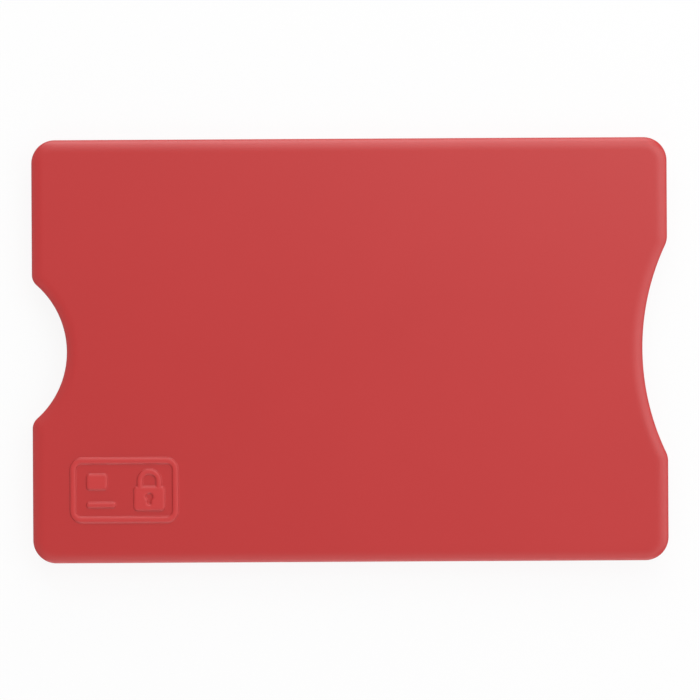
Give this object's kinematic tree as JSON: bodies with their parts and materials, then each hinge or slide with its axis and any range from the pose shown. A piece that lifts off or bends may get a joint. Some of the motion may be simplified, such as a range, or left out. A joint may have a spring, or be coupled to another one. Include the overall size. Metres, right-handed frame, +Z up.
{
  "type": "rfid card holder",
  "caption": "Slim rigid plastic sleeve for a payment card, with metal screening sheets inside, an open mouth and finger notches in its ends.",
  "frame": {"origin": "centre of the rear face, on the surface that the sleeve lies on", "axes": "+X along the sleeve towards its open mouth, +Y across it, +Z up through its thickness to the front face"},
  "size_m": [0.091, 0.0606, 0.004],
  "materials": {
    "shell_plastic": "satin",
    "shield_metal": "satin",
    "film": "matte"
  },
  "bodies": {
    "root": {"rear_shell": "shell_plastic", "rear_adhesive": "film", "rear_shield": "shield_metal", "front_shell": "shell_plastic", "front_adhesive": "film", "front_shield": "shield_metal"}
  },
  "joints": []
}
